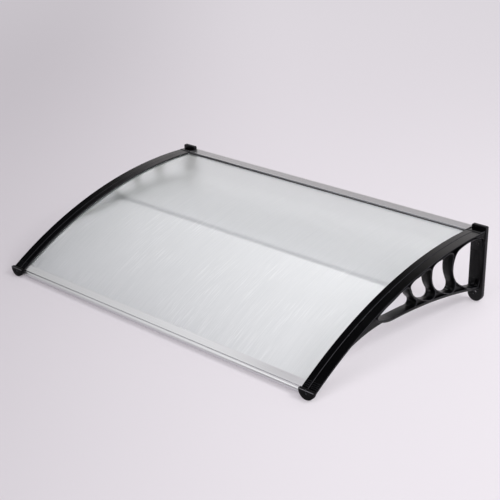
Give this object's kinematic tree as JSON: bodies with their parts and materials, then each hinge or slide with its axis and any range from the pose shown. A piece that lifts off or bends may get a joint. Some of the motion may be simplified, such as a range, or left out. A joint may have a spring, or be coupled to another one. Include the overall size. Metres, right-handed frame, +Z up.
{
  "type": "door canopy",
  "caption": "Curved twin-wall polycarbonate door canopy, clamped between moulded wall brackets with cut-out webs, with aluminium rails along its front and rear edges.",
  "frame": {"origin": "under the middle of the whole, on the level of the brackets' lugs and front caps", "axes": "+Z up, +Y towards the wall, +X to the right for someone facing the wall"},
  "size_m": [1.2, 0.768, 0.233],
  "materials": {
    "sheet": "clear, twin-wall",
    "black_plastic": "satin black, moulded",
    "aluminium": "satin, extruded",
    "rubber": "matt",
    "screw_steel": "zinc-plated"
  },
  "bodies": {
    "root": {"sheet": "sheet", "left_bracket": "black_plastic", "left_clamp_strip": "black_plastic", "left_front_cap": "black_plastic", "right_bracket": "black_plastic", "right_clamp_strip": "black_plastic", "right_front_cap": "black_plastic", "rear_rail": "aluminium", "front_rail": "aluminium", "rear_gasket": "rubber", "wall_seal": "rubber", "front_gasket": "rubber", "left_edge_gasket": "rubber", "right_edge_gasket": "rubber", "rear_rail_screw_left": "screw_steel", "rear_rail_screw_right": "screw_steel", "left_front_cap_screw": "screw_steel", "right_front_cap_screw": "screw_steel", "left_clamp_screw_1": "screw_steel", "left_clamp_screw_2": "screw_steel", "left_clamp_screw_3": "screw_steel", "left_clamp_screw_4": "screw_steel", "left_clamp_screw_5": "screw_steel", "left_clamp_screw_6": "screw_steel", "right_clamp_screw_1": "screw_steel", "right_clamp_screw_2": "screw_steel", "right_clamp_screw_3": "screw_steel", "right_clamp_screw_4": "screw_steel", "right_clamp_screw_5": "screw_steel", "right_clamp_screw_6": "screw_steel"}
  },
  "joints": []
}
